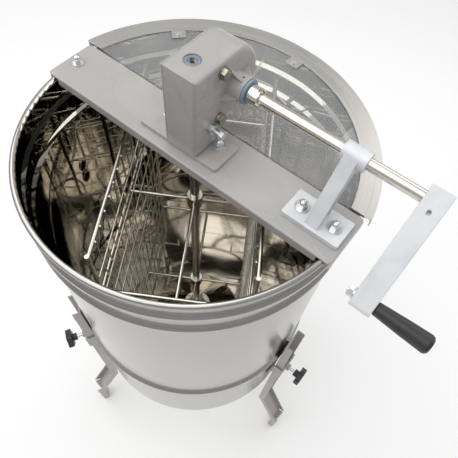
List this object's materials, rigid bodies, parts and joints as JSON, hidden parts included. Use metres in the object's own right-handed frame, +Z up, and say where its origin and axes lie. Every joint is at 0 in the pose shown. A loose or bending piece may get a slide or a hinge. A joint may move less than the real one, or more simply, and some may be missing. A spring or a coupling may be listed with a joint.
{
  "type": "honey extractor",
  "caption": "Hand-cranked stainless honey extractor on three adjustable legs, with a spinning mesh basket cage, side gearbox, crank and clear half lid.",
  "frame": {"origin": "on the cage's axis at floor level, at the centre of the circle the three shoes stand on", "axes": "+Z up the cage's axis; the crossbar runs along X with the crank on the +X side; +Y is the side with the clear half lid"},
  "size_m": [0.6709, 0.6283, 1.311],
  "materials": {
    "stainless_tank": "satin",
    "grey_enamel": "satin",
    "cast_aluminium": "satin",
    "zinc_fasteners": "satin",
    "ground_shaft": "polished",
    "cage_wire": "polished",
    "gear_steel": "satin",
    "plug_nickel": "satin",
    "bush_bronze": "satin",
    "blue_seal_rubber": "matte",
    "black_plastic": "matte",
    "gate_plastic": "satin",
    "clear_lid_sheet": "glossy"
  },
  "bodies": {
    "tank": {"tank_shell": "stainless_tank", "tank_bottom": "stainless_tank", "pivot_seat": "cast_aluminium", "pivot_ball": "ground_shaft", "outlet_spout": "stainless_tank", "gate_body": "gate_plastic", "gate_pivot": "zinc_fasteners", "crossbar": "grey_enamel", "bar_bracket_left": "grey_enamel", "bar_bracket_right": "grey_enamel", "bar_bolts": "zinc_fasteners", "bar_nuts": "zinc_fasteners", "gearbox_bolts": "zinc_fasteners", "gearbox_housing": "grey_enamel", "gearbox_cover": "grey_enamel", "cover_screws": "zinc_fasteners", "oil_plugs": "plug_nickel", "lock_bolt": "zinc_fasteners", "cage_bearings": "gear_steel", "crank_bearings": "gear_steel", "crank_seal": "blue_seal_rubber", "shaft_pedestal": "cast_aluminium", "pedestal_bush": "bush_bronze", "leg_strap_right": "grey_enamel", "leg_strap_rear": "grey_enamel", "leg_strap_left": "grey_enamel"},
    "cage": {"cage_shaft": "ground_shaft", "drive_pinion": "gear_steel", "upper_spider": "cage_wire", "lower_spider": "cage_wire", "basket_left": "cage_wire", "basket_right": "cage_wire"},
    "drive": {"drive_wheel": "gear_steel", "drive_sleeve": "ground_shaft"},
    "crank": {"crank_shaft": "ground_shaft", "drive_pin": "ground_shaft", "crank_arm": "cast_aluminium", "arm_set_screw": "zinc_fasteners", "grip_bolt": "zinc_fasteners", "grip_nut": "zinc_fasteners"},
    "handle": {"grip": "black_plastic"},
    "lid": {"lid_window": "clear_lid_sheet", "lid_ring": "stainless_tank", "lid_rivets": "zinc_fasteners"},
    "blade": {"gate_blade": "gate_plastic"},
    "gate_knob": {"gate_screw": "black_plastic"},
    "leg_right_moving": {"leg_right": "grey_enamel", "stop_bolt_right": "zinc_fasteners"},
    "knob_right": {"clamp_screw_right": "zinc_fasteners", "clamp_knob_right": "black_plastic"},
    "leg_rear_moving": {"leg_rear": "grey_enamel", "stop_bolt_rear": "zinc_fasteners"},
    "knob_rear": {"clamp_screw_rear": "zinc_fasteners", "clamp_knob_rear": "black_plastic"},
    "leg_left_moving": {"leg_left": "grey_enamel", "stop_bolt_left": "zinc_fasteners"},
    "knob_left": {"clamp_screw_left": "zinc_fasteners", "clamp_knob_left": "black_plastic"}
  },
  "joints": [
    {"name": "cage_spin", "type": "hinge", "parent": "tank", "child": "cage", "pos_m": [0, 0, 0.9], "axis": [0, 0, 1], "continuous": true},
    {"name": "wheel_spin", "type": "hinge", "parent": "tank", "child": "drive", "pos_m": [0, 0.048, 1.261], "axis": [1, 0, 0], "continuous": true},
    {"name": "crank_pull", "type": "slide", "parent": "drive", "child": "crank", "axis": [1, 0, 0], "range_m": [0, 0.008]},
    {"name": "grip_spin", "type": "hinge", "parent": "crank", "child": "handle", "pos_m": [0.35, -0.05455, 1.16866], "axis": [1, 0, 0], "continuous": true},
    {"name": "lid_slide", "type": "slide", "parent": "tank", "child": "lid", "axis": [0, 1, 0], "range_m": [0, 0.25]},
    {"name": "gate_swing", "type": "hinge", "parent": "tank", "child": "blade", "pos_m": [-0.046, 0.3042, 0.51], "axis": [0, -1, 0], "range_deg": [0, 95]},
    {"name": "gate_knob_turn", "type": "hinge", "parent": "tank", "child": "gate_knob", "pos_m": [0.046, 0.3, 0.51], "axis": [0, 1, 0], "range_deg": [0, 360]},
    {"name": "leg_right_slide", "type": "slide", "parent": "tank", "child": "leg_right_moving", "axis": [0, 0, 1], "range_m": [-0.12, 0.1]},
    {"name": "knob_right_turn", "type": "hinge", "parent": "tank", "child": "knob_right", "pos_m": [0.3, 0, 0.593], "axis": [1, 0, 0], "range_deg": [0, 360]},
    {"name": "leg_rear_slide", "type": "slide", "parent": "tank", "child": "leg_rear_moving", "axis": [0, 0, 1], "range_m": [-0.12, 0.1]},
    {"name": "knob_rear_turn", "type": "hinge", "parent": "tank", "child": "knob_rear", "pos_m": [-0.15, 0.25981, 0.593], "axis": [-0.5, 0.866, 0], "range_deg": [0, 360]},
    {"name": "leg_left_slide", "type": "slide", "parent": "tank", "child": "leg_left_moving", "axis": [0, 0, 1], "range_m": [-0.12, 0.1]},
    {"name": "knob_left_turn", "type": "hinge", "parent": "tank", "child": "knob_left", "pos_m": [-0.15, -0.25981, 0.593], "axis": [-0.5, -0.866, 0], "range_deg": [0, 360]}
  ],
  "couplings": [
    {"joint": "wheel_spin", "follows": "cage_spin", "ratio": 0.33333}
  ]
}
